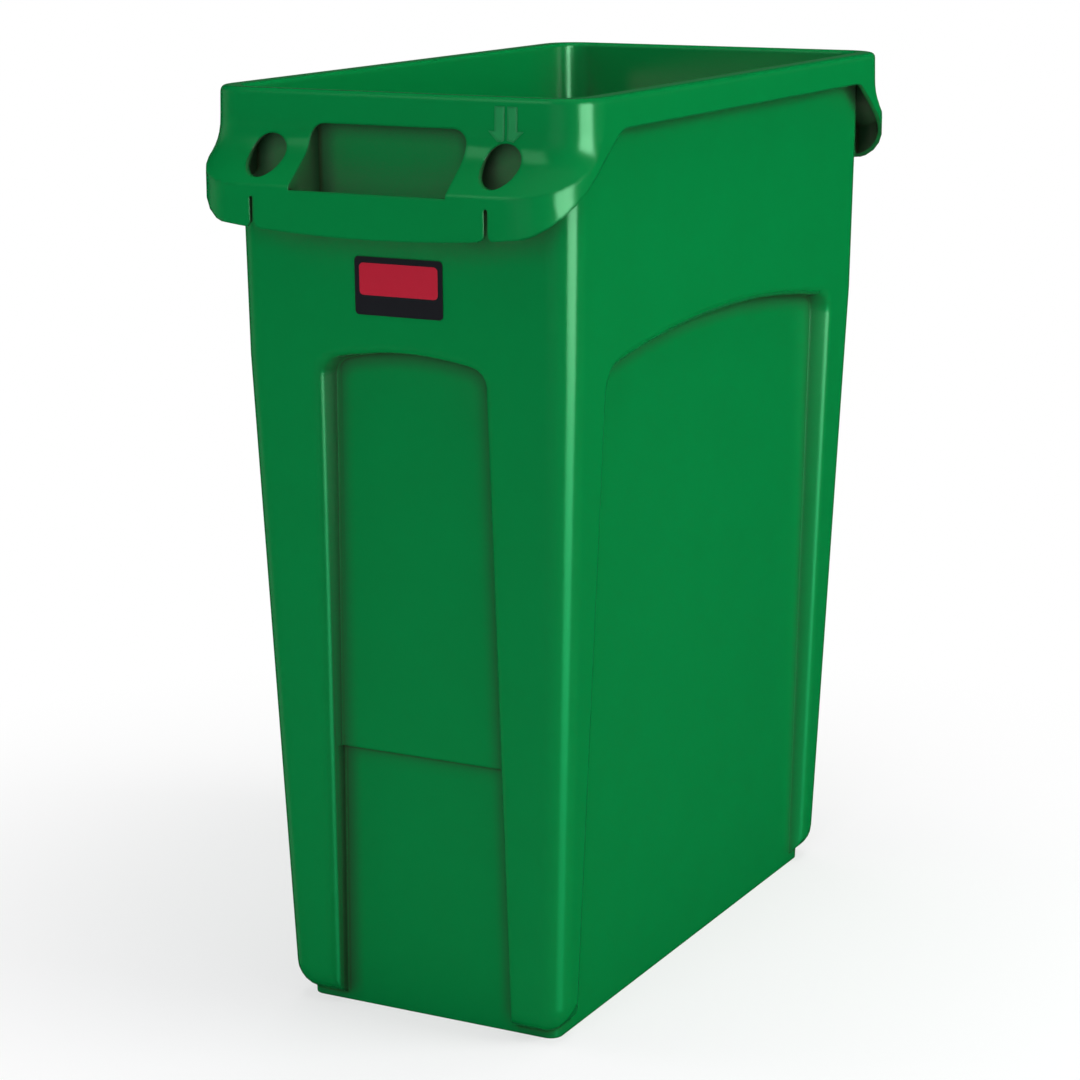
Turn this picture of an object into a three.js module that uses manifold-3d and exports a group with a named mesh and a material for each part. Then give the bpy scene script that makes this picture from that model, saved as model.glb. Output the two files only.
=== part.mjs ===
// A tall, narrow refuse receptacle: one injection-moulded body and the label on one end.
// Frame: origin at the centre of the foot on the floor, +Z up, +X across the narrow
// width, +Y along the length. The label is on the -Y end. All lengths are millimetres.

import * as THREE from "three";
import { mergeVertices } from "three/addons/utils/BufferGeometryUtils.js";
import Module from "manifold-3d";

const wasm = await Module();
wasm.setup();

// Overall sizes
const overallHeight = 635;
const rimWidth = 279.4;
const rimLength = 508;

// Walls of the moulding
const wall = 3;
const floorThickness = 3.8;
const ribThickness = 3;

// Outer faces of the body, which lean out from the floor to a knee and then stand steeper.
// The lips are how far the rim band stands out beyond them at the mouth.
const footWidth = 211.7;
const footLength = 453.7;
const footCornerRadius = 18;
const kneeDrop = 178;
const kneeSideLean = 2.8;
const kneeEndLean = 2.1;
const sideLip = 13.1;
const endLip = 8.5;
const mouthCornerRadius = 20.5;

// Rounded lower ends of the corner posts
const postEndRadius = 21;
const postEndLevel = 25.5;

// Plinth that the receptacle stands on, and the hollow under its base
const plinthCornerRadius = 8.7;
const baseRecessDepth = 4.2;
const footRingWidth = 5;

// Arched recess in each long side, between two corner posts. Its wall runs from an edge on
// the posts to a groove along the panel.
const sidePanelFootDepth = 9.3;
const sidePanelKneeDepth = 13;
const sidePostFootWidth = 24.35;
const sidePostKneeWidth = 48.4;
const sideArchRise = 22;
const sideEdgeArchRadius = 1090;
const sideEdgeCornerRadius = 24;
const sideWallFootRun = 12.5;
const sideWallKneeRun = 14.5;
const sideGrooveArchRadius = 1083;
const sideGrooveCornerRadius = 13;

// Arched recess in each end, with a panel that steps in deeper below
const endPanelFootDepth = 14.45;
const endPanelKneeDepth = 18;
const endPanelStep = 3.45;
const endStepHeight = 188.7;
const endPostFootWidth = 31.35;
const endPostKneeWidth = 56.3;
const endArchRise = 16;
const endEdgeArchRadius = 206;
const endEdgeCornerRadius = 17;
const endWallFootRun = 9.2;
const endWallKneeRun = 12.1;
const endGrooveArchRadius = 200;
const endGrooveCornerRadius = 12;

// Walls of the recesses
const archWallRun = 8.5;
const edgeRadius = 8;
const grooveRadius = 1.5;

// Rim band round the mouth
const bandHeight = 21.2;
const bandDraft = 0.4;
const rimCornerRadius = 29;
const rimEdgeRadius = 4;
const mouthEdgeRadius = 3;

// Handle at each end: a shelf that slopes out of the band, and a skirt to grip below it
const handleReach = 30;
const shelfDrop = 20;
const shelfHeight = 40.5;
const shelfUpperRadius = 30;
const shelfSideShare = 0.5;
const crestRadius = 4;
const skirtCornerRadius = 44;
const skirtDraft = 0.5;
const skirtHeight = 29.2;
const skirtBowHeight = 5.8;
const skirtBowWidth = 216;

// Lower edge of the handle where it runs down from the band
const gussetTopInset = 51.7;
const gussetTopRadius = 25;
const gussetFootInset = 2.5;
const gussetBowRadius = 520;

// Hand opening in each shelf, between two ribs
const handOpeningWidth = 114;
const handOpeningHeight = 40.3;
const handOpeningSill = 0.5;
const handOpeningRadius = 10;

// Outer ribs under each shelf, cut off along the handle's lower edge
const outerRibSpacing = 208.8;

// Liner cinches: a hole in the shelf and a slit in the skirt below it
const cinchSpacing = 170.4;
const cinchHoleRise = 19.1;
const cinchHoleRadius = 13.3;
const slitWidth = 2.6;
const slitDrop = 5.5;
const slitMouthRadius = 4.5;

// Label
const labelWidth = 65;
const labelHeight = 38;
const labelCornerRadius = 3;
const labelDrop = 125;
const labelThickness = 0.4;
const labelGap = 0.3;

// Amounts that make cuts run past a face, joins bite into a wall and rounds stay open
const overrun = 2;
const bite = 1.2;
const leastRadius = 0.4;

// Number of steps in the rounds
const cornerSteps = 7;
const archSteps = 10;
const archCornerSteps = 4;
const edgeSteps = 4;
const shelfSteps = 5;
const roundSteps = 6;
const holeSteps = 12;

// Levels, from the floor up
const floorTop = baseRecessDepth + floorThickness;
const kneeHeight = overallHeight - kneeDrop;
const bandFoot = overallHeight - bandHeight;
const shelfTop = overallHeight - shelfDrop;
const shelfFoot = shelfTop - shelfHeight;
const skirtBottom = shelfFoot - skirtHeight;
const skirtEndFoot = skirtBottom + skirtBowHeight;

// Sizes that follow from the ones above
const handleLength = rimLength + 2 * handleReach;
const mouthWidth = rimWidth - 2 * sideLip;
const mouthLength = rimLength - 2 * endLip;
const kneeWidth = mouthWidth - 2 * kneeSideLean;
const kneeLength = mouthLength - 2 * kneeEndLean;
const deepestFoot = Math.max(sidePanelFootDepth, endPanelFootDepth);
const sideArchApex = kneeHeight + sideArchRise;
const endArchApex = kneeHeight + endArchRise;
const endPanelFootWidth = footWidth - 2 * endPostFootWidth - endWallFootRun;
const endPanelKneeWidth = kneeWidth - 2 * endPostKneeWidth - endWallKneeRun;
const sideFaces = { foot: footWidth, knee: kneeWidth, mouth: mouthWidth };
const endFaces = { foot: footLength, knee: kneeLength, mouth: mouthLength };

// Value at height z of a size given at the floor and at the knee
function tapered(atFloor, atKnee, z) {
  return atFloor + ((atKnee - atFloor) * z) / kneeHeight;
}

// Half the body's width or length at height z, which grows less above the knee
function faceAt({ foot, knee, mouth }, z) {
  const above = Math.max(z - kneeHeight, 0) / kneeDrop;
  return (tapered(foot, knee, Math.min(z, kneeHeight)) + (mouth - knee) * above) / 2;
}

// A geometry's closed surface as a solid that can be joined and cut
function solidOf(geometry) {
  const bare = geometry.clone();
  bare.deleteAttribute("normal");
  bare.deleteAttribute("uv");
  const merged = mergeVertices(bare);
  return new wasm.Manifold(
    new wasm.Mesh({
      numProp: 3,
      vertProperties: new Float32Array(merged.attributes.position.array),
      triVerts: new Uint32Array(merged.index.array),
    }),
  );
}

// A solid's surface as a geometry with flat faces
function geometryOf(solid) {
  const mesh = solid.getMesh();
  const geometry = new THREE.BufferGeometry();
  geometry.setAttribute("position", new THREE.BufferAttribute(mesh.vertProperties, 3));
  geometry.setIndex(new THREE.BufferAttribute(mesh.triVerts, 1));
  const flat = geometry.toNonIndexed();
  flat.computeVertexNormals();
  return flat;
}

// A closed skin over rings of points, each ring counter-clockwise seen from the last one
function loft(rings) {
  const count = rings[0].length;
  const positions = rings.flat().flatMap((point) => [point.x, point.y, point.z]);
  const indices = [];
  for (let ring = 0; ring + 1 < rings.length; ring++) {
    for (let i = 0; i < count; i++) {
      const a = ring * count + i;
      const b = ring * count + ((i + 1) % count);
      indices.push(a, b, b + count, a, b + count, a + count);
    }
  }
  const last = (rings.length - 1) * count;
  for (let i = 1; i + 1 < count; i++) {
    indices.push(0, i + 1, i);
    indices.push(last, last + i, last + i + 1);
  }
  const geometry = new THREE.BufferGeometry();
  geometry.setAttribute("position", new THREE.Float32BufferAttribute(positions, 3));
  geometry.setIndex(indices);
  return solidOf(geometry);
}

// A level ring: a rectangle with rounded corners, at height z
function roundedRing(halfX, halfY, radius, z) {
  const points = [];
  for (let corner = 0; corner < 4; corner++) {
    const start = (corner * Math.PI) / 2;
    const signX = corner === 0 || corner === 3 ? 1 : -1;
    const signY = corner < 2 ? 1 : -1;
    for (let step = 0; step <= cornerSteps; step++) {
      const angle = start + ((Math.PI / 2) * step) / cornerSteps;
      const x = signX * (halfX - radius) + radius * Math.cos(angle);
      const y = signY * (halfY - radius) + radius * Math.sin(angle);
      points.push(new THREE.Vector3(x, y, z));
    }
  }
  return points;
}

// An S-shaped line that starts along u, turns by one radius towards w, runs straight, and
// turns back by the other radius, to end at (run, rise). The line is moved by offset
// towards w. Returns each arc's points, first arc first.
function sCurve(run, rise, firstRadius, secondRadius, offset, steps) {
  const fit = Math.min(1, (run * run + rise * rise) / (2 * rise * (firstRadius + secondRadius)));
  const first = firstRadius * fit;
  const second = secondRadius * fit;
  const climb = rise - first - second;
  const turn = Math.atan2(climb, run) + Math.asin((first + second) / Math.hypot(run, climb));
  const firstArc = [];
  const secondArc = [];
  for (let step = 0; step <= steps; step++) {
    const angle = (turn * step) / steps;
    const near = Math.max(first - offset, leastRadius);
    const far = Math.max(second + offset, leastRadius);
    firstArc.push({ u: near * Math.sin(angle), w: first - near * Math.cos(angle) });
    secondArc.unshift({ u: run - far * Math.sin(angle), w: rise - second + far * Math.cos(angle) });
  }
  return { firstArc, secondArc };
}

// Outline of an arched recess in a face: tapering sides, rounded corners and a low arch.
// Points run counter-clockwise from the foot on the right.
function archOutline({ footHalf, kneeHalf, apex, archRadius, cornerRadius, foot }) {
  const taper = (footHalf - kneeHalf) / kneeHeight;
  const slant = Math.hypot(1, taper);
  const reach = footHalf - cornerRadius * slant;
  const archLevel = apex - archRadius;
  const span = archRadius - cornerRadius;
  const middle = reach * taper + archLevel;
  const rest = reach * reach + archLevel * archLevel - span * span;
  const cornerZ = (middle + Math.sqrt(middle * middle - slant * slant * rest)) / (slant * slant);
  const cornerX = reach - taper * cornerZ;
  const lean = Math.atan2(taper, 1);
  const spring = Math.atan2(cornerZ - archLevel, cornerX);
  const right = [new THREE.Vector2(footHalf - taper * foot, foot)];
  for (let step = 0; step <= archCornerSteps; step++) {
    const angle = lean + ((spring - lean) * step) / archCornerSteps;
    const x = cornerX + cornerRadius * Math.cos(angle);
    const z = cornerZ + cornerRadius * Math.sin(angle);
    right.push(new THREE.Vector2(x, z));
  }
  const arch = [];
  for (let step = 1; step < archSteps; step++) {
    const angle = spring + ((Math.PI - 2 * spring) * step) / archSteps;
    const x = archRadius * Math.cos(angle);
    arch.push(new THREE.Vector2(x, archLevel + archRadius * Math.sin(angle)));
  }
  const left = right.map((point) => new THREE.Vector2(-point.x, point.y)).reverse();
  return [...right, ...arch, ...left];
}

// The hollow of an arched recess in the +Y face of a body, to a depth that grows with
// height. With an inset, the hollow grows by it on every wall.
function recessHollow({ faces, footDepth, kneeDepth, edge, groove, inset }) {
  const widest = Math.max(faces.foot, faces.knee, faces.mouth);
  const profiles = edge.map((point, i) => {
    const run = point.distanceTo(groove[i]);
    const depth = tapered(footDepth, kneeDepth, groove[i].y);
    const rounding = Math.min(edgeRadius, run - grooveRadius);
    const { firstArc, secondArc } = sCurve(run, depth, rounding, grooveRadius, inset, edgeSteps);
    const inward = groove[i].clone().sub(point).divideScalar(run);
    const start = extended(firstArc[1], firstArc[0], -overrun);
    const end = extended(secondArc.at(-2), secondArc.at(-1), depth + inset + overrun);
    const middle = [...firstArc.slice(1), ...secondArc.slice(0, -1)];
    const wallPoints = [start, ...middle, end].map(({ u, w }) => {
      const x = point.x + inward.x * u;
      const z = point.y + inward.y * u;
      return new THREE.Vector3(x, faceAt(faces, z) - w, z);
    });
    return [wallPoints[0].clone().setY(widest / 2 + 2 * overrun), ...wallPoints];
  });
  const rings = profiles[0].map((_, ring) => profiles.map((profile) => profile[ring]));
  return loft(rings);
}

// The point on the line through two points where it reaches depth w
function extended(from, to, w) {
  const share = (w - from.w) / (to.w - from.w);
  return { u: from.u + (to.u - from.u) * share, w };
}

// The hollows of both end recesses, or of both side recesses
function endHollows(inset) {
  const footHalf = footWidth / 2 - endPostFootWidth;
  const kneeHalf = kneeWidth / 2 - endPostKneeWidth;
  const outlines = {
    edge: archOutline({
      footHalf,
      kneeHalf,
      apex: endArchApex,
      archRadius: endEdgeArchRadius,
      cornerRadius: endEdgeCornerRadius,
      foot: -overrun,
    }),
    groove: archOutline({
      footHalf: footHalf - endWallFootRun,
      kneeHalf: kneeHalf - endWallKneeRun,
      apex: endArchApex - archWallRun,
      archRadius: endGrooveArchRadius,
      cornerRadius: endGrooveCornerRadius,
      foot: -overrun,
    }),
  };
  const face = { faces: endFaces, inset };
  const upper = recessHollow({
    ...face,
    ...outlines,
    footDepth: endPanelFootDepth - endPanelStep,
    kneeDepth: endPanelKneeDepth - endPanelStep,
  });
  const deep = recessHollow({
    ...face,
    ...outlines,
    footDepth: endPanelFootDepth,
    kneeDepth: endPanelKneeDepth,
  });
  const lower = deep.intersect(blockBelow(endStepHeight + inset));
  const hollow = upper.add(lower);
  return hollow.add(hollow.rotate([0, 0, 180]));
}

function sideHollows(inset) {
  const footHalf = footLength / 2 - sidePostFootWidth;
  const kneeHalf = kneeLength / 2 - sidePostKneeWidth;
  const hollow = recessHollow({
    faces: sideFaces,
    footDepth: sidePanelFootDepth,
    kneeDepth: sidePanelKneeDepth,
    edge: archOutline({
      footHalf,
      kneeHalf,
      apex: sideArchApex,
      archRadius: sideEdgeArchRadius,
      cornerRadius: sideEdgeCornerRadius,
      foot: -overrun,
    }),
    groove: archOutline({
      footHalf: footHalf - sideWallFootRun,
      kneeHalf: kneeHalf - sideWallKneeRun,
      apex: sideArchApex - archWallRun,
      archRadius: sideGrooveArchRadius,
      cornerRadius: sideGrooveCornerRadius,
      foot: -overrun,
    }),
    inset,
  });
  const turned = hollow.rotate([0, 0, 90]);
  return turned.add(turned.rotate([0, 0, 180]));
}

// A block wider than the body that reaches from under the floor up to height z
function blockBelow(z) {
  const height = z + overallHeight;
  const block = new THREE.BoxGeometry(2 * rimWidth, 2 * handleLength, height);
  block.translate(0, 0, z - height / 2);
  return solidOf(block);
}

// The corner posts and the plain upper walls, before the panels: a tall tapered form with
// rounded lower ends, cut by the recesses
function postForm(inset, top) {
  const endRadius = postEndRadius - inset;
  const lowest = inset > 0 ? floorTop : postEndLevel - postEndRadius;
  const fullTurn = Math.acos(1 - (deepestFoot + bite) / postEndRadius);
  const lowTurn = Math.asin(Math.min(1, (postEndLevel - lowest) / endRadius));
  const turn = inset > 0 ? lowTurn : fullTurn;
  const rings = [];
  for (let step = roundSteps; step >= 0; step--) {
    const angle = (turn * step) / roundSteps;
    const inwards = inset + endRadius * (1 - Math.cos(angle));
    const z = postEndLevel - endRadius * Math.sin(angle);
    rings.push(bodyRing(z, inwards));
  }
  rings.push(bodyRing(kneeHeight, inset));
  rings.push(bodyRing(top, inset));
  return loft(rings).subtract(endHollows(inset)).subtract(sideHollows(inset));
}

// A level ring on the body's outer faces, moved inwards
function bodyRing(z, inwards) {
  const corner = footCornerRadius + ((mouthCornerRadius - footCornerRadius) * z) / overallHeight;
  const radius = Math.max(corner - inwards, leastRadius);
  return roundedRing(faceAt(sideFaces, z) - inwards, faceAt(endFaces, z) - inwards, radius, z);
}

// The four flat panels with the plinth, as one tapered form, and the thicker upper part
// of the end panels above their step
function panelForm(inset) {
  const top = Math.max(sideArchApex, endArchApex);
  const bottom = inset > 0 ? floorTop : 0;
  const radius = Math.max(plinthCornerRadius - inset, leastRadius);
  const halfAt = (footSize, kneeSize, footDepth, kneeDepth, z) =>
    tapered(footSize, kneeSize, z) / 2 - tapered(footDepth, kneeDepth, z) - inset;
  const endHalf = (z) => halfAt(footLength, kneeLength, endPanelFootDepth, endPanelKneeDepth, z);
  const core = [bottom, top].map((z) => {
    const halfX = halfAt(footWidth, kneeWidth, sidePanelFootDepth, sidePanelKneeDepth, z);
    return roundedRing(halfX, endHalf(z), radius, z);
  });
  const thicker = [endStepHeight + inset, top].map((z) => {
    const halfX = tapered(endPanelFootWidth, endPanelKneeWidth, z) / 2;
    return roundedRing(halfX, endHalf(z) + endPanelStep, radius, z);
  });
  return loft(core).add(loft(thicker));
}

// The space inside the receptacle, with its rounded mouth edge
function cavity() {
  const rings = [];
  for (let step = 0; step <= edgeSteps; step++) {
    const angle = ((Math.PI / 2) * step) / edgeSteps;
    const outwards = mouthEdgeRadius * (1 - Math.cos(angle));
    const z = overallHeight - mouthEdgeRadius * (1 - Math.sin(angle));
    rings.push(bodyRing(z, wall - outwards));
  }
  rings.push(bodyRing(overallHeight + overrun, wall - mouthEdgeRadius));
  const mouth = loft(rings);
  const inside = postForm(wall, overallHeight - mouthEdgeRadius / 2);
  return inside.add(panelForm(wall)).add(mouth);
}

// The outer form of the rim band, shelves and skirts, moved inwards by inset. The shelf
// flares out all round the band, less to the sides than to the ends, and the handles' plan
// trims it.
function rimForm(inset) {
  const topLevel = overallHeight - inset;
  const edge = Math.max(rimEdgeRadius - inset, leastRadius);
  const stations = [];
  for (let step = 0; step <= edgeSteps; step++) {
    const angle = ((Math.PI / 2) * step) / edgeSteps;
    const z = topLevel - edge * (1 - Math.cos(angle));
    stations.push({ z, outwards: -edge * (1 - Math.sin(angle)), flared: 0 });
  }
  const flare = handleReach - bandDraft;
  const curve = sCurve(shelfHeight, flare, shelfUpperRadius, crestRadius, -inset, shelfSteps);
  for (const { u, w } of [...curve.firstArc, ...curve.secondArc]) {
    stations.push({ z: shelfTop - u, outwards: bandDraft, flared: w + inset });
  }
  stations.push({ z: skirtBottom - overrun, outwards: bandDraft - skirtDraft, flared: flare });
  const rings = stations.map(({ z, outwards, flared }) => {
    const out = outwards - inset;
    const halfX = rimWidth / 2 + out + flared * shelfSideShare;
    return roundedRing(halfX, rimLength / 2 + out + flared, rimCornerRadius + out + flared, z);
  });
  return loft(rings.reverse()).intersect(handlePlan(inset));
}

// The rim's plan with both handles, as an upright block that trims what flares beyond it
function handlePlan(inset) {
  const halfX = rimWidth / 2 - inset;
  const halfY = handleLength / 2 - inset;
  const radius = skirtCornerRadius - inset;
  const levels = [skirtBottom - 2 * overrun, overallHeight + overrun];
  return loft(levels.map((z) => roundedRing(halfX, halfY, radius, z)));
}

// A flat shape in X and Z, run along Y from one place to another
function runAlongY(shape, fromY, toY, steps) {
  const geometry = new THREE.ExtrudeGeometry(shape, {
    depth: toY - fromY,
    bevelEnabled: false,
    curveSegments: steps,
  });
  geometry.rotateX(Math.PI / 2);
  geometry.translate(0, toY, 0);
  return solidOf(geometry);
}

// What is cut away below the skirts, seen from the end: a bowed edge, level past the bow
function belowSkirt() {
  const bowHalf = skirtBowWidth / 2;
  const bowRadius = (bowHalf * bowHalf + skirtBowHeight * skirtBowHeight) / (2 * skirtBowHeight);
  const bowTurn = Math.asin(bowHalf / bowRadius);
  const outside = rimWidth / 2 + overrun;
  const right = [];
  for (let step = 1; step <= roundSteps; step++) {
    const angle = (bowTurn * step) / roundSteps;
    const x = bowRadius * Math.sin(angle);
    right.push(new THREE.Vector2(x, skirtBottom + bowRadius * (1 - Math.cos(angle))));
  }
  right.push(new THREE.Vector2(outside, skirtEndFoot));
  right.push(new THREE.Vector2(outside, skirtBottom - skirtBowHeight));
  const left = right.map((point) => new THREE.Vector2(-point.x, point.y));
  const lowest = new THREE.Vector2(0, skirtBottom);
  const shape = new THREE.Shape([...left.reverse(), lowest, ...right]);
  return runAlongY(shape, -handleLength, handleLength, roundSteps);
}

// What is cut away below the side bands, seen from the side: level under the band, with a
// rounded turn into a slightly bowed edge that runs down to each handle
function belowBand() {
  const topHalf = rimLength / 2 - gussetTopInset;
  const footHalf = handleLength / 2 - gussetFootInset;
  const chord = Math.hypot(footHalf - topHalf, bandFoot - skirtEndFoot);
  const slope = Math.atan2(bandFoot - skirtEndFoot, footHalf - topHalf);
  const bow = Math.asin(chord / (2 * gussetBowRadius));
  const turn = slope - bow;
  const tangent = gussetTopRadius * Math.tan(turn / 2);
  const right = [];
  for (let step = 0; step <= roundSteps; step++) {
    const angle = (turn * step) / roundSteps;
    const y = topHalf - tangent + gussetTopRadius * Math.sin(angle);
    right.push(new THREE.Vector2(y, bandFoot - gussetTopRadius * (1 - Math.cos(angle))));
  }
  for (let step = 1; step <= roundSteps; step++) {
    const angle = turn + (2 * bow * step) / roundSteps;
    const y = footHalf - gussetBowRadius * (Math.sin(slope + bow) - Math.sin(angle));
    const drop = gussetBowRadius * (Math.cos(angle) - Math.cos(slope + bow));
    right.push(new THREE.Vector2(y, skirtEndFoot + drop));
  }
  right.push(new THREE.Vector2(footHalf, skirtBottom - skirtBowHeight));
  const left = right.map((point) => new THREE.Vector2(-point.x, point.y));
  const shape = new THREE.Shape([...left.reverse(), ...right]);
  return runAlongY(shape, -rimWidth, rimWidth, roundSteps).rotate([0, 0, 90]);
}

// Ribs that stand between the end wall and the skirt, at a distance from the middle
function ribPair(innerFace) {
  const height = overallHeight - skirtBottom;
  const length = (handleLength - mouthLength) / 2 + bite;
  const rib = new THREE.BoxGeometry(ribThickness, length, height + overrun);
  rib.translate(innerFace + ribThickness / 2, handleLength / 2 - length / 2, 0);
  rib.translate(0, 0, skirtBottom + height / 2);
  const solid = solidOf(rib);
  return solid.add(solid.mirror([1, 0, 0]));
}

// The hand opening of the +Y handle, with rounded upper corners
function handOpening() {
  const half = handOpeningWidth / 2;
  const foot = shelfFoot - handOpeningSill;
  const shape = new THREE.Shape();
  shape.moveTo(-half, foot);
  shape.lineTo(half, foot);
  const turnLevel = foot + handOpeningHeight - handOpeningRadius;
  shape.lineTo(half, turnLevel);
  shape.absarc(half - handOpeningRadius, turnLevel, handOpeningRadius, 0, Math.PI / 2, false);
  shape.absarc(handOpeningRadius - half, turnLevel, handOpeningRadius, Math.PI / 2, Math.PI, false);
  shape.closePath();
  return runAlongY(shape, mouthLength / 2 + bite, handleLength / 2 + overrun, roundSteps);
}

// A liner cinch of the +Y handle: the round hole in the shelf and the slit in the skirt
function cinch() {
  const hole = new THREE.Shape();
  hole.absarc(cinchSpacing / 2, shelfFoot + cinchHoleRise, cinchHoleRadius, 0, 2 * Math.PI, false);
  const depthStart = mouthLength / 2 + bite;
  const depthEnd = handleLength / 2 + overrun;
  const slit = new THREE.Shape();
  const half = slitWidth / 2;
  const centre = cinchSpacing / 2;
  const bow = skirtBowHeight * (centre / (skirtBowWidth / 2)) ** 2;
  const mouth = skirtBottom + bow;
  const wide = half + slitMouthRadius;
  const topTurn = shelfFoot - slitDrop - half;
  slit.moveTo(centre - wide, mouth - overrun);
  slit.lineTo(centre + wide, mouth - overrun);
  slit.lineTo(centre + wide, mouth);
  slit.absarc(centre + wide, mouth + slitMouthRadius, slitMouthRadius, -Math.PI / 2, -Math.PI, true);
  slit.lineTo(centre + half, topTurn);
  slit.absarc(centre, topTurn, half, 0, Math.PI, false);
  slit.lineTo(centre - half, mouth + slitMouthRadius);
  slit.absarc(centre - wide, mouth + slitMouthRadius, slitMouthRadius, 0, -Math.PI / 2, true);
  slit.closePath();
  const skirtInside = handleLength / 2 - wall - skirtDraft - bite;
  const holeCut = runAlongY(hole, depthStart, depthEnd, holeSteps);
  const cut = holeCut.add(runAlongY(slit, skirtInside, depthEnd, roundSteps));
  return cut.add(cut.mirror([1, 0, 0]));
}

// Rim band with the two handles, open from below
function rimAndHandles() {
  const shell = rimForm(0).subtract(rimForm(wall)).subtract(belowSkirt()).subtract(belowBand());
  const outerRibs = ribPair(outerRibSpacing / 2).subtract(belowBand());
  const ribs = ribPair(handOpeningWidth / 2).add(outerRibs);
  const bothRibs = ribs.add(ribs.rotate([0, 0, 180]));
  const seated = bothRibs.intersect(rimForm(wall / 2)).subtract(belowSkirt());
  const cuts = handOpening().add(cinch());
  return shell.add(seated).subtract(cuts.add(cuts.rotate([0, 0, 180])));
}

// The shallow hollow under the base, which leaves a ring to stand on
function baseHollow() {
  const inwards = [-overrun, baseRecessDepth].map((z) => {
    const halfX = footWidth / 2 - sidePanelFootDepth - footRingWidth;
    const halfY = footLength / 2 - endPanelFootDepth - footRingWidth;
    return roundedRing(halfX, halfY, plinthCornerRadius / 2, z);
  });
  return loft(inwards);
}

function receptacleBody() {
  const outside = postForm(0, overallHeight - wall / 2).add(panelForm(0)).add(rimAndHandles());
  const solid = outside.subtract(cavity()).subtract(baseHollow());
  const green = new THREE.MeshStandardMaterial({ color: 0x0b7a3c, roughness: 0.42, metalness: 0 });
  const mesh = new THREE.Mesh(geometryOf(solid), green);
  mesh.name = "receptacle_body";
  return mesh;
}

// The label: a thin rounded sheet that lies against the end wall above the recess
function frontLabel() {
  const halfX = labelWidth / 2 - labelCornerRadius;
  const halfZ = labelHeight / 2 - labelCornerRadius;
  const shape = new THREE.Shape();
  shape.absarc(halfX, -halfZ, labelCornerRadius, -Math.PI / 2, 0, false);
  shape.absarc(halfX, halfZ, labelCornerRadius, 0, Math.PI / 2, false);
  shape.absarc(-halfX, halfZ, labelCornerRadius, Math.PI / 2, Math.PI, false);
  shape.absarc(-halfX, -halfZ, labelCornerRadius, Math.PI, 1.5 * Math.PI, false);
  const geometry = new THREE.ExtrudeGeometry(shape, {
    depth: labelThickness,
    bevelEnabled: false,
    curveSegments: roundSteps,
  });
  const black = new THREE.MeshStandardMaterial({ color: 0x1c1d1f, roughness: 0.3, metalness: 0 });
  const mesh = new THREE.Mesh(geometry, black);
  mesh.name = "front_label";
  mesh.position.z = labelGap;
  const seat = new THREE.Group();
  seat.add(mesh);
  const centreHeight = overallHeight - labelDrop;
  seat.rotation.x = Math.PI / 2 + Math.atan2(kneeEndLean, kneeDrop);
  seat.position.set(0, -faceAt(endFaces, centreHeight), centreHeight);
  return seat;
}

const receptacle = new THREE.Group();
receptacle.add(receptacleBody(), frontLabel());

export default receptacle;
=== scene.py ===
# A green moulded refuse receptacle with a printed label, on a pale studio floor. Lengths are
# metres, and millimetres where a name says so. +Z is up, and the label is on the -Y end.

import math

import bmesh
import bpy
from mathutils import Matrix, Vector
from mathutils.bvhtree import BVHTree


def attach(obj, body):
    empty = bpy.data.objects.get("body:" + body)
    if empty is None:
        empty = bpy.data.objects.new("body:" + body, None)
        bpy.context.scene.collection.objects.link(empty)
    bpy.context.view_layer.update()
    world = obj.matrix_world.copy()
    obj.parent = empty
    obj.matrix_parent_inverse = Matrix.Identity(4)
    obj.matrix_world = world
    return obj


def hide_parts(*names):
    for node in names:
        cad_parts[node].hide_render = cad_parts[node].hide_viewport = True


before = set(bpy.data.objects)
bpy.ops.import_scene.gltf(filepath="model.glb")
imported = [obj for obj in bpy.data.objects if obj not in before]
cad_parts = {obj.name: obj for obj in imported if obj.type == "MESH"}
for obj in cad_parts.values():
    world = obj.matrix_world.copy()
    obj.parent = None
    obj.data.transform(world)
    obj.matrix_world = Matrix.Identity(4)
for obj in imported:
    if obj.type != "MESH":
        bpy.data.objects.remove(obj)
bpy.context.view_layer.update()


# The camera: a long lens that looks down a little at the near end and the right long side.
# Its lens, place and angles were fitted to the corners of the rim, the foot and the recesses.
LENS_MM = 98.19
SENSOR_MM = 36
CAMERA_PLACE = Vector((0.94695, -1.86929, 0.78294))
CAMERA_YAW = math.radians(-27.48)
CAMERA_PITCH = math.radians(13.163)
CAMERA_ROLL = math.radians(-0.165)


def placed(name, data):
    thing = bpy.data.objects.new(name, data)
    bpy.context.collection.objects.link(thing)
    return thing


def aim(thing, place, forward, roll=0.0):
    side = forward.cross(Vector((0, 0, 1))).normalized()
    up = side.cross(forward)
    right = side * math.cos(roll) + up * math.sin(roll)
    top = up * math.cos(roll) - side * math.sin(roll)
    turn = Matrix((right, top, -forward)).transposed().to_4x4()
    thing.matrix_world = Matrix.Translation(place) @ turn


lens = bpy.data.cameras.new("camera")
lens.sensor_width = SENSOR_MM
lens.lens = LENS_MM
camera = placed("camera", lens)
looking = Vector((
    math.sin(CAMERA_YAW) * math.cos(CAMERA_PITCH),
    math.cos(CAMERA_YAW) * math.cos(CAMERA_PITCH),
    -math.sin(CAMERA_PITCH),
))
aim(camera, CAMERA_PLACE, looking, CAMERA_ROLL)
bpy.context.scene.camera = camera
bpy.context.scene.view_settings.view_transform = "Standard"


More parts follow.
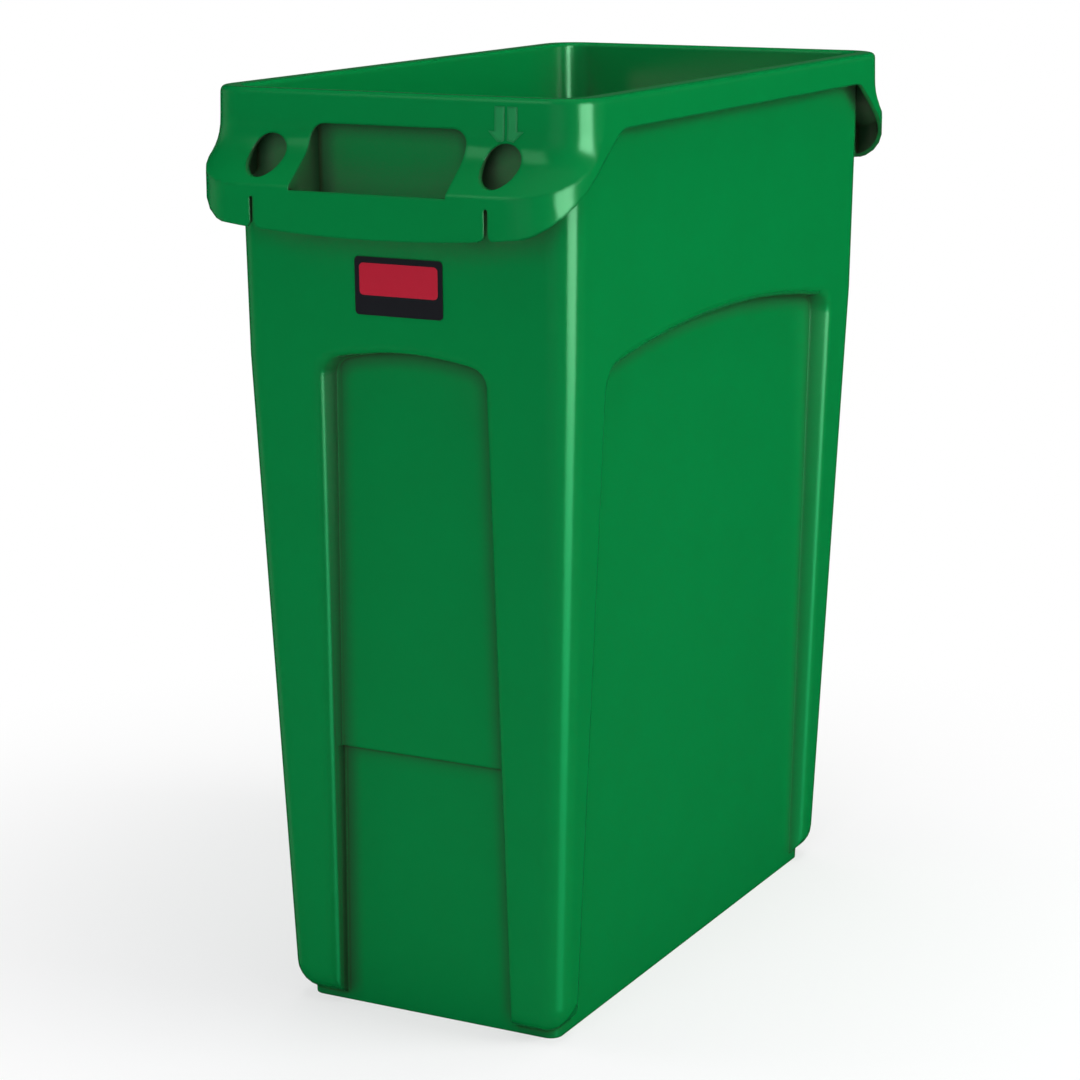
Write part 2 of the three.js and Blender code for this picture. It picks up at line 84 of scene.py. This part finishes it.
# The body: one injection moulding of green polyethylene, with its base, walls, rim band and
# both handles in one. The shape is the CAD solid's. Here its edges get the small rounds that
# a mould leaves, and its curves are shaded smooth.
BODY_GREEN = "#037B3A"
BODY_GREEN_DEEP = "#037737"
BODY_ROUGHNESS = (0.18, 0.22)
HIGHLIGHT_GREEN = "#AEFFCB"
POLYETHYLENE_IOR = 1.51
OPEN_SHEEN = 0.45
SHADED_SHEEN = 0.05
SHEEN_LOST_AT = 0.5
MOTTLE_MM = 45
MOTTLE_DETAIL = 3
SOFTENED_EDGE_MM = 2.6
RAY_SAMPLES = 4
EDGE_ROUND = 0.0006
EDGE_SEGMENTS = 2
SHARP_EDGE = math.radians(33)
FLAT_ENOUGH = math.radians(0.3)
WELD = 0.00002

# The mould's grain is finer than this, and is drawn coarser so that it shows at all.
GRAIN_MM = 1.6
GRAIN_DEPTH_MM = 0.04
GRAIN_DETAIL = 2
GRAIN_STRENGTH = 0.12

# Each painted shade has its reach in millimetres, how open the surface is where the painted
# shade starts and where it is full, and the colour it paints there.
PAINTED_HOLLOW_SHADE = (160, 0.62, 0.25, "#4A5543")
PAINTED_CREASE_SHADE = (14, 0.97, 0.62, "#24452B")
PAINTED_LINE_SHADE = (3, 0.88, 0.6, "#2A321C")


def linear(colour):
    channels = [int(colour[i:i + 2], 16) / 255 for i in (1, 3, 5)]
    return [c / 12.92 if c <= 0.04045 else ((c + 0.055) / 1.055) ** 2.4 for c in channels] + [1]


# A link's value is a number, a colour, a socket, or a node, which stands for its first output.
def wire(node, links):
    for key, value in links.items():
        socket = node.inputs[key]
        if isinstance(key, str):
            socket = next(each for each in node.inputs if each.name == key and each.enabled)
        if isinstance(value, bpy.types.Node):
            value = next(each for each in value.outputs if each.enabled)
        if isinstance(value, bpy.types.NodeSocket):
            node.id_data.links.new(value, socket)
        else:
            socket.default_value = value


def add(tree, kind, links=None, **settings):
    node = tree.nodes.new(kind)
    for name, value in settings.items():
        setattr(node, name, value)
    wire(node, links or {})
    return node


def new_material(name):
    material = bpy.data.materials.new(name)
    material.use_nodes = True
    tree = material.node_tree
    place = add(tree, "ShaderNodeTexCoord").outputs["Object"]
    return material, tree, tree.nodes["Principled BSDF"], place


def finished(name, form, material):
    mesh = bpy.data.meshes.new(name)
    form.to_mesh(mesh)
    form.free()
    mesh.materials.append(material)
    return placed(name, mesh)


# Polyethylene is a soft satin plastic: its colour is even, its highlights are narrow and
# greenish, and its grain only makes them a little uneven. Shade is painted into the colour:
# a thin dark line in sharp creases, a soft green one in wider ones and a brownish one in
# hollows, and the gloss is dimmed under all three painted shades.
def moulded_polyethylene(name, colour, deep_colour, roughness):
    material, tree, shader, place = new_material(name)
    mottle = add(
        tree, "ShaderNodeTexNoise",
        {"Vector": place, "Scale": 1000 / MOTTLE_MM, "Detail": MOTTLE_DETAIL},
    )
    shaded = add(
        tree, "ShaderNodeMix",
        {"Factor": mottle, "A": linear(colour), "B": linear(deep_colour)},
        data_type="RGBA",
    )
    shade = 0
    # Painted shade: where occlusion finds the surface closed in, the colour is mixed towards that
    # shade's colour.
    for reach_mm, starts_at, full_at, darker in (PAINTED_HOLLOW_SHADE, PAINTED_CREASE_SHADE, PAINTED_LINE_SHADE):
        openness = add(
            tree, "ShaderNodeAmbientOcclusion", {"Distance": reach_mm / 1000},
            samples=RAY_SAMPLES, only_local=True,
        )
        closed = add(
            tree, "ShaderNodeMapRange",
            {"Value": openness.outputs["AO"], "From Min": starts_at, "From Max": full_at},
        )
        shaded = add(
            tree, "ShaderNodeMix", {"Factor": closed, "A": shaded, "B": linear(darker)},
            data_type="RGBA",
        )
        shade = add(tree, "ShaderNodeMath", {0: closed, 1: shade}, operation="MAXIMUM")
    # The gloss is dimmed where the painted shade lies.
    sheen = add(
        tree, "ShaderNodeMapRange",
        {"Value": shade, "From Max": SHEEN_LOST_AT, "To Min": OPEN_SHEEN, "To Max": SHADED_SHEEN},
    )
    satin = add(
        tree, "ShaderNodeMapRange",
        {"Value": mottle, "To Min": roughness[0], "To Max": roughness[1]},
    )
    grain = add(
        tree, "ShaderNodeTexNoise",
        {"Vector": place, "Scale": 1000 / GRAIN_MM, "Detail": GRAIN_DETAIL},
    )
    softened = add(
        tree, "ShaderNodeBevel", {"Radius": SOFTENED_EDGE_MM / 1000}, samples=RAY_SAMPLES,
    )
    grained = add(
        tree, "ShaderNodeBump",
        {
            "Height": grain, "Distance": GRAIN_DEPTH_MM / 1000, "Strength": GRAIN_STRENGTH,
            "Normal": softened,
        },
    )
    wire(shader, {
        "Base Color": shaded,
        "Roughness": satin,
        "IOR": POLYETHYLENE_IOR,
        "Specular IOR Level": sheen,
        "Specular Tint": linear(HIGHLIGHT_GREEN),
        "Normal": grained,
    })
    return material


# The solid's triangles are merged in a copy, and those that lie flat together are joined.
form = bmesh.new()
form.from_mesh(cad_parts["receptacle_body"].data)
bmesh.ops.remove_doubles(form, verts=form.verts, dist=WELD)
bmesh.ops.dissolve_degenerate(form, edges=form.edges, dist=WELD)
bmesh.ops.dissolve_limit(form, verts=form.verts, edges=form.edges, angle_limit=FLAT_ENOUGH)
for face in form.faces:
    face.smooth = True
body_surface = BVHTree.FromBMesh(form)
body = finished(
    "moulded_body", form,
    moulded_polyethylene("moulded_green_polyethylene", BODY_GREEN, BODY_GREEN_DEEP, BODY_ROUGHNESS),
)
if "custom_normal" in body.data.attributes:
    body.data.attributes.remove(body.data.attributes["custom_normal"])

# The small rounds of the mould, and the smooth shading over them.
rounding = body.modifiers.new("edge_rounds", "BEVEL")
rounding.width = EDGE_ROUND
rounding.segments = EDGE_SEGMENTS
rounding.limit_method = "ANGLE"
rounding.angle_limit = SHARP_EDGE
rounding.miter_outer = "MITER_ARC"
weighting = body.modifiers.new("face_weighted_normals", "WEIGHTED_NORMAL")
weighting.keep_sharp = True
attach(body, "root")
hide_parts("receptacle_body")


# The arrows: each end has one above its right-hand cinch hole, moulded 0.35 mm proud of the
# band and shelf. It points down at the hole and is split in two by a gap down its middle.
# Its face is frosted in the mould, which leaves it duller and a little paler than the body.
ARROW_CENTRE = 0.0841
ARROW_GAP_HALF = 0.001
ARROW_SHAFT_HALF = 0.0079
ARROW_HEAD_HALF = 0.0124
ARROW_TOP = 0.6295
ARROW_HEAD_TOP = 0.6143
ARROW_RELIEF = 0.00035
ARROW_SEAT = 0.0001
ARROW_ROWS = 12
HOLE_ACROSS = 0.0852
HOLE_HEIGHT = 0.5936
HOLE_CLEARANCE = 0.0146
FROSTED_GREEN = "#1A8446"
FROSTED_GREEN_DEEP = "#188044"
FROSTED_ROUGHNESS = (0.4, 0.5)


# Rows from the top of the shaft to the tip of the head: each has the distances of its inner
# and outer ends from the arrow's middle, and its height. The head stops short of the hole.
def arrow_half(side):
    rows = []
    for row in range(ARROW_ROWS + 1):
        z = ARROW_TOP + (ARROW_HEAD_TOP - ARROW_TOP) * row / ARROW_ROWS
        rows.append((ARROW_GAP_HALF, ARROW_SHAFT_HALF, z))
    for row in range(ARROW_ROWS + 1):
        drop = (ARROW_HEAD_HALF - ARROW_GAP_HALF) * row / ARROW_ROWS
        z = ARROW_HEAD_TOP - drop
        inner = ARROW_GAP_HALF
        outer = ARROW_HEAD_HALF - drop
        above_hole = z - HOLE_HEIGHT
        if above_hole < HOLE_CLEARANCE:
            edge = math.sqrt(HOLE_CLEARANCE ** 2 - above_hole ** 2)
            inner = max(inner, edge + side * (HOLE_ACROSS - ARROW_CENTRE))
        if inner < outer:
            rows.append((inner, outer, z))
    return rows


# A sheet is drawn upright, 1 m out from the middle. It is pushed in along Y onto the surface
# that carries it, and thickened there along that surface's own normals.
def raised_on(surface, sheet, seat, relief):
    lift = sheet.verts.layers.float_vector.new("lift")
    for vert in sheet.verts:
        place, normal = surface.ray_cast(vert.co, Vector((0, -vert.co.y, 0)))[:2]
        vert.co = place - normal * seat
        vert[lift] = normal * (seat + relief)
    grown = bmesh.ops.extrude_face_region(sheet, geom=sheet.faces[:], use_keep_orig=True)
    for part in grown["geom"]:
        if isinstance(part, bmesh.types.BMVert):
            part.co += part[lift]
    sheet.verts.layers.float_vector.remove(lift)
    bmesh.ops.recalc_face_normals(sheet, faces=sheet.faces)


arrow_sheet = bmesh.new()
for end in (-1, 1):
    for side in (-1, 1):
        rows = []
        for inner, outer, z in arrow_half(side):
            spots = [(-end * (ARROW_CENTRE + side * half), end, z) for half in (inner, outer)]
            rows.append([arrow_sheet.verts.new(spot) for spot in spots])
        for upper, lower in zip(rows, rows[1:]):
            arrow_sheet.faces.new((*upper, *reversed(lower)))
raised_on(body_surface, arrow_sheet, ARROW_SEAT, ARROW_RELIEF)
arrows = finished(
    "cinch_arrows", arrow_sheet,
    moulded_polyethylene(
        "frosted_green_polyethylene", FROSTED_GREEN, FROSTED_GREEN_DEEP, FROSTED_ROUGHNESS,
    ),
)
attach(arrows, "root")


# The label: a printed plastic film with rounded corners, stuck to the end wall above the
# recess. It is charcoal, with one plain red panel printed on it.
LABEL_CHARCOAL = "#1C1D20"
LABEL_RED = "#B3122C"
FILM_ROUGHNESS = (0.3, 0.38)
PANEL_WIDTH = 0.058
PANEL_HEIGHT = 0.021
PANEL_CORNER = 0.003
PANEL_CORNER_STEPS = 6
PANEL_MIDDLE = 0.5145
PANEL_THICKNESS = 0.00005

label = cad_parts["front_label"]


# Printed film is smooth and its ink is even, so only its gloss changes a little from place to
# place, as it follows the grain of the wall beneath.
def printed_film(name, colour):
    material, tree, shader, place = new_material(name)
    grain = add(
        tree, "ShaderNodeTexNoise",
        {"Vector": place, "Scale": 1000 / GRAIN_MM, "Detail": GRAIN_DETAIL},
    )
    gloss = add(
        tree, "ShaderNodeMapRange",
        {"Value": grain, "To Min": FILM_ROUGHNESS[0], "To Max": FILM_ROUGHNESS[1]},
    )
    wire(shader, {"Base Color": linear(colour), "Roughness": gloss})
    return material


label.data.materials.clear()
label.data.materials.append(printed_film("printed_charcoal_film", LABEL_CHARCOAL))

# The red panel is a plate with rounded corners, laid on the label's own face.
film = bmesh.new()
film.from_mesh(label.data)
film.transform(label.matrix_world)
label_surface = BVHTree.FromBMesh(film)
film.free()
panel = bmesh.new()
upright = Matrix.Translation((0, -1, PANEL_MIDDLE)) @ Matrix.Rotation(math.radians(90), 4, "X")
plate = upright @ Matrix.Diagonal((PANEL_WIDTH / 2, PANEL_HEIGHT / 2, 1, 1))
bmesh.ops.create_grid(panel, x_segments=1, y_segments=1, size=1, matrix=plate)
bmesh.ops.bevel(
    panel, geom=panel.verts[:], affect="VERTICES", offset=PANEL_CORNER,
    segments=PANEL_CORNER_STEPS, profile=0.5, material=-1,
)
raised_on(label_surface, panel, 0, PANEL_THICKNESS)
label_panel = finished("label_panel", panel, printed_film("printed_red_film", LABEL_RED))
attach(label_panel, "root")


# The floor: plain pale board, painted matt. Close to the receptacle it takes the shadow, and
# further out it turns into the white of the backdrop.
FLOOR_HALF = 9
FLOOR_SHADE = "#F4F4F4"
FLOOR_ROUGHNESS = 0.9
SHADOW_NEAR = 0.3
SHADOW_FAR = 0.8
NEAR_WHITE_SHARE = 0.62


# 1 for what is seen straight or through something clear, and the given share for what is
# mirrored. Light that only bounces about gets 0.
def seen_white(tree, mirrored_share):
    rays = add(tree, "ShaderNodeLightPath").outputs
    mirrored = add(
        tree, "ShaderNodeMath", {0: rays["Is Glossy Ray"], 1: mirrored_share},
        operation="MULTIPLY",
    )
    not_straight = add(
        tree, "ShaderNodeMath", {0: rays["Is Transmission Ray"], 1: mirrored},
        operation="MAXIMUM",
    )
    return add(
        tree, "ShaderNodeMath", {0: rays["Is Camera Ray"], 1: not_straight},
        operation="MAXIMUM",
    )


# Matt paint mirrors nothing. The white over it is only for the eye, and gives no light.
def painted_board():
    material, tree, shader, place = new_material("matt_painted_board")
    wire(shader, {
        "Base Color": linear(FLOOR_SHADE),
        "Roughness": FLOOR_ROUGHNESS,
        "Specular IOR Level": 0,
    })
    distance = add(tree, "ShaderNodeVectorMath", {0: place}, operation="LENGTH")
    away = add(
        tree, "ShaderNodeMapRange",
        {
            "Value": distance.outputs["Value"], "From Min": SHADOW_NEAR, "From Max": SHADOW_FAR,
            "To Min": NEAR_WHITE_SHARE,
        },
        interpolation_type="SMOOTHSTEP",
    )
    share = add(tree, "ShaderNodeMath", {0: away, 1: seen_white(tree, 1)}, operation="MULTIPLY")
    white = add(tree, "ShaderNodeEmission", {"Color": (1, 1, 1, 1), "Strength": 1})
    covered = add(tree, "ShaderNodeMixShader", {0: share, 1: shader, 2: white})
    wire(tree.nodes["Material Output"], {"Surface": covered})
    return material


board = bmesh.new()
bmesh.ops.create_grid(board, x_segments=1, y_segments=1, size=FLOOR_HALF)
floor = finished("floor", board, painted_board())
floor.visible_glossy = False


# The studio: tall panels are mirrored as the long highlights of the corners, fill lamps that
# only the matt part of the surface sees give the even light, and two small lamps stand inside
# the mouth. The backdrop is white where it is seen straight, and dim where it is mirrored.
NEAR_CORNER = (0.13, -0.25)
PANEL_DISTANCE = 8
INNER_PANEL_SPREAD = math.radians(70)
ROOM_STRENGTH = 0.26
BACKDROP_FOOT = 0.02
BACKDROP_TOP = 0.1
BACKDROP_FADE = 0.08
MIRRORED_SHARE = 0.06


def soft_box(name, place, towards, size, radiance, colour=(1, 1, 1), mirrored=True):
    lamp = bpy.data.lights.new(name, "AREA")
    lamp.shape = "RECTANGLE"
    lamp.size, lamp.size_y = size
    lamp.energy = radiance * math.pi * size[0] * size[1]
    lamp.color = colour
    thing = placed(name, lamp)
    aim(thing, Vector(place), (Vector(towards) - Vector(place)).normalized())
    thing.visible_camera = False
    thing.visible_glossy = mirrored
    thing.visible_diffuse = not mirrored


# The right-hand panel stands on fainter, greener strips that reach below the floor's level,
# so that the near corner's highlight fades towards the foot. Bearings are degrees from -Y.
for name, bearing, foot, top, width, radiance, colour in (
    ("right_panel", 79, -1.6, 4, 5, 12, (1, 1, 1)),
    ("right_panel_low", 80, -2.3, -1.6, 4.4, 7.2, (0.25, 1, 0.7)),
    ("right_panel_lower", 80, -3, -2.3, 4.4, 4.6, (0.15, 1, 0.65)),
    ("right_panel_lowest", 80, -4.6, -3, 4.4, 2.1, (0.1, 1, 0.65)),
):
    x = NEAR_CORNER[0] + PANEL_DISTANCE * math.sin(math.radians(bearing))
    y = NEAR_CORNER[1] - PANEL_DISTANCE * math.cos(math.radians(bearing))
    middle = (foot + top) / 2
    soft_box(name, (x, y, middle), (*NEAR_CORNER, middle), (width, top - foot), radiance, colour)

# The other lamps that are mirrored: place, aim, width and height, radiance and colour.
for lamp in (
    ("left_panel", (-3.1, -0.1, 0.05), (-0.13, -0.25, 0.05), (1.5, 2.7), 0.16),
    ("front_panel", (-0.8, -1.6, 2.3), (0, -0.28, 0.6), (0.85, 1.2), 1.6),
    ("inner_panel", (0.1, 0.215, 0.56), (-0.12, 0.215, 0.56), (0.06, 0.2), 2.2),
    ("inner_glow", (-0.1, -0.02, 0.52), (0, -0.02, 0.52), (0.4, 0.18), 1, (1.2, 0.2, 0.5)),
):
    soft_box(*lamp)
bpy.data.lights["inner_panel"].spread = INNER_PANEL_SPREAD

# The fill lamps, which aren't mirrored.
for lamp in (
    ("overhead_fill", (0.1, 0.1, 2.2), (0, 0.101, 0), (1.6, 1.6), 2.7),
    ("right_fill", (2.1, 0.4, 1.3), (0, 0, 0.25), (1.2, 1.4), 7.3),
    ("front_fill", (0.3, -2.4, 0.9), (0, 0, 0.2), (1.4, 1.4), 3.3, (1.02, 1, 1.15)),
    ("left_fill", (-2.2, -0.6, 1.1), (0, 0, 0.3), (1.2, 1.4), 2),
):
    soft_box(*lamp, mirrored=False)

# In the gloss the backdrop is a band above the horizon, which fades into a dark ceiling.
world = bpy.data.worlds.new("studio")
bpy.context.scene.world = world
world.use_nodes = True
room = world.node_tree
direction = add(room, "ShaderNodeTexCoord").outputs["Generated"]
height = add(room, "ShaderNodeSeparateXYZ", {0: direction}).outputs["Z"]
above_foot = add(
    room, "ShaderNodeMapRange", {"Value": height, "From Min": 0, "From Max": BACKDROP_FOOT},
)
below_top = add(
    room, "ShaderNodeMapRange",
    {"Value": height, "From Min": BACKDROP_TOP + BACKDROP_FADE, "From Max": BACKDROP_TOP},
)
band = add(room, "ShaderNodeMath", {0: above_foot, 1: below_top}, operation="MULTIPLY")
dimmed = add(room, "ShaderNodeMath", {0: band, 1: MIRRORED_SHARE}, operation="MULTIPLY")
bounced = add(
    room, "ShaderNodeMath",
    {0: add(room, "ShaderNodeLightPath").outputs["Is Diffuse Ray"], 1: ROOM_STRENGTH},
    operation="MULTIPLY",
)
strength = add(
    room, "ShaderNodeMath", {0: seen_white(room, dimmed), 1: bounced}, operation="ADD",
)
wire(room.nodes["Background"], {"Color": (1, 1, 1, 1), "Strength": strength})
